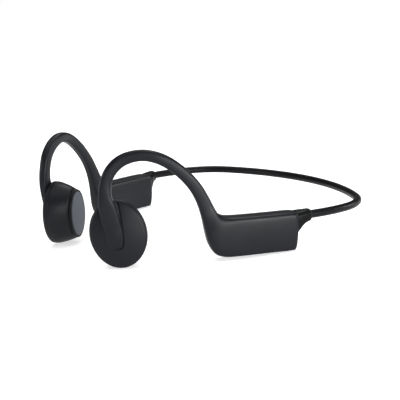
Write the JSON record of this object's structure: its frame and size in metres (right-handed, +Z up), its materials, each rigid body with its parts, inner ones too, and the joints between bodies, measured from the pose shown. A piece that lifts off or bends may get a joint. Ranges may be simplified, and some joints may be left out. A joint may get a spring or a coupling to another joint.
{
  "type": "bone conduction headphones",
  "caption": "Wireless bone conduction headphones: a thin sprung neckband, block housings, over-ear hooks and oval vibrating pods with flat skin pads.",
  "frame": {"origin": "on the surface that the headphones stand on, below the middle of their bounding box", "axes": "+Z up, the wearer faces -Y, +X towards the wearer's left; mirror plane X = 0"},
  "size_m": [0.1338, 0.14, 0.0499],
  "materials": {
    "silicone_skin": "matte, soft-touch",
    "band_silicone": "matte, soft-touch",
    "cap_plastic": "fine matte",
    "seal_rubber": "matte",
    "case_plastic": "as moulded",
    "screw_steel": "zinc plated",
    "pod_skin": "matte, soft-touch",
    "bezel_plastic": "satin",
    "pad_silicone": "matte",
    "driver_steel": "plated",
    "magnet_nickel": "nickel plated",
    "coil_copper": "enamelled wire",
    "foam_grey": "open-cell foam",
    "titanium": "drawn",
    "lead_jacket": "satin",
    "button_rubber": "matte",
    "switch_plastic": "as moulded",
    "board_resin": "solder mask",
    "contact_gold": "gold plated",
    "port_plastic": "satin",
    "light_pipe": "frosted",
    "battery_foil": "laminated foil"
  },
  "bodies": {
    "neckband": {"neckband_sleeve": "band_silicone", "neckband_wire": "titanium", "neckband_lead": "lead_jacket"},
    "left_arm": {"left_arm_sleeve": "silicone_skin", "left_cap_grommet": "seal_rubber", "left_case_base": "case_plastic", "left_case_lid": "case_plastic", "left_case_screws": "screw_steel", "left_driver_cushion": "foam_grey", "left_driver_magnet": "magnet_nickel", "left_driver_spring": "driver_steel", "left_driver_top_plate": "driver_steel", "left_driver_yoke": "driver_steel", "left_end_cap": "cap_plastic", "left_hook_lead": "lead_jacket", "left_hook_wire": "titanium", "left_pod_bezel": "bezel_plastic", "left_pod_cover": "pod_skin", "left_pod_gasket": "seal_rubber", "left_pod_shell": "pod_skin", "battery": "battery_foil", "battery_cushion": "foam_grey", "protection_board": "board_resin"},
    "left_pad": {"left_skin_pad": "pad_silicone", "left_pad_carrier": "case_plastic", "left_voice_coil": "coil_copper"},
    "right_arm": {"right_arm_sleeve": "silicone_skin", "right_cap_grommet": "seal_rubber", "right_case_base": "case_plastic", "right_case_lid": "case_plastic", "right_case_screws": "screw_steel", "right_driver_cushion": "foam_grey", "right_driver_magnet": "magnet_nickel", "right_driver_spring": "driver_steel", "right_driver_top_plate": "driver_steel", "right_driver_yoke": "driver_steel", "right_end_cap": "cap_plastic", "right_hook_lead": "lead_jacket", "right_hook_wire": "titanium", "right_pod_bezel": "bezel_plastic", "right_pod_cover": "pod_skin", "right_pod_gasket": "seal_rubber", "right_pod_shell": "pod_skin", "button_switches": "switch_plastic", "radio_module": "switch_plastic", "microphone": "switch_plastic", "main_board": "board_resin", "charge_contacts": "contact_gold", "charge_plate": "port_plastic", "charge_magnet": "magnet_nickel", "status_light": "light_pipe"},
    "right_pad": {"right_skin_pad": "pad_silicone", "right_pad_carrier": "case_plastic", "right_voice_coil": "coil_copper"},
    "volume_down_button": {"volume_down_button": "button_rubber"},
    "volume_up_button": {"volume_up_button": "button_rubber"},
    "power_button": {"power_button": "button_rubber"}
  },
  "joints": [
    {"name": "left_arm_flex", "type": "hinge", "parent": "neckband", "child": "left_arm", "pos_m": [0, 0.0682, 0.0111], "axis": [0, 0, 1], "range_deg": [-6, 24], "stiffness_Nm_per_rad": 0.3, "deforming": ["neckband_sleeve", "neckband_wire", "neckband_lead"]},
    {"name": "right_arm_flex", "type": "hinge", "parent": "neckband", "child": "right_arm", "pos_m": [0, 0.0682, 0.0111], "axis": [0, 0, 1], "range_deg": [-24, 6], "stiffness_Nm_per_rad": 0.3, "deforming": ["neckband_sleeve", "neckband_wire", "neckband_lead"]},
    {"name": "left_pad_travel", "type": "slide", "parent": "left_arm", "child": "left_pad", "axis": [-0.7771, 0.6267, -0.057], "range_m": [-0.0001, 0.0001], "stiffness_N_per_m": 2000, "deforming": ["left_driver_spring"]},
    {"name": "right_pad_travel", "type": "slide", "parent": "right_arm", "child": "right_pad", "axis": [0.7771, 0.6267, -0.057], "range_m": [-0.0001, 0.0001], "stiffness_N_per_m": 2000, "deforming": ["right_driver_spring"]},
    {"name": "volume_down_press", "type": "slide", "parent": "right_arm", "child": "volume_down_button", "axis": [-0.0128, 0.0399, 0.9991], "range_m": [0, 0.0004], "stiffness_N_per_m": 600},
    {"name": "volume_up_press", "type": "slide", "parent": "right_arm", "child": "volume_up_button", "axis": [-0.0128, 0.0399, 0.9991], "range_m": [0, 0.0004], "stiffness_N_per_m": 600},
    {"name": "power_press", "type": "slide", "parent": "right_arm", "child": "power_button", "axis": [-0.0128, 0.0399, 0.9991], "range_m": [0, 0.0004], "stiffness_N_per_m": 600}
  ]
}
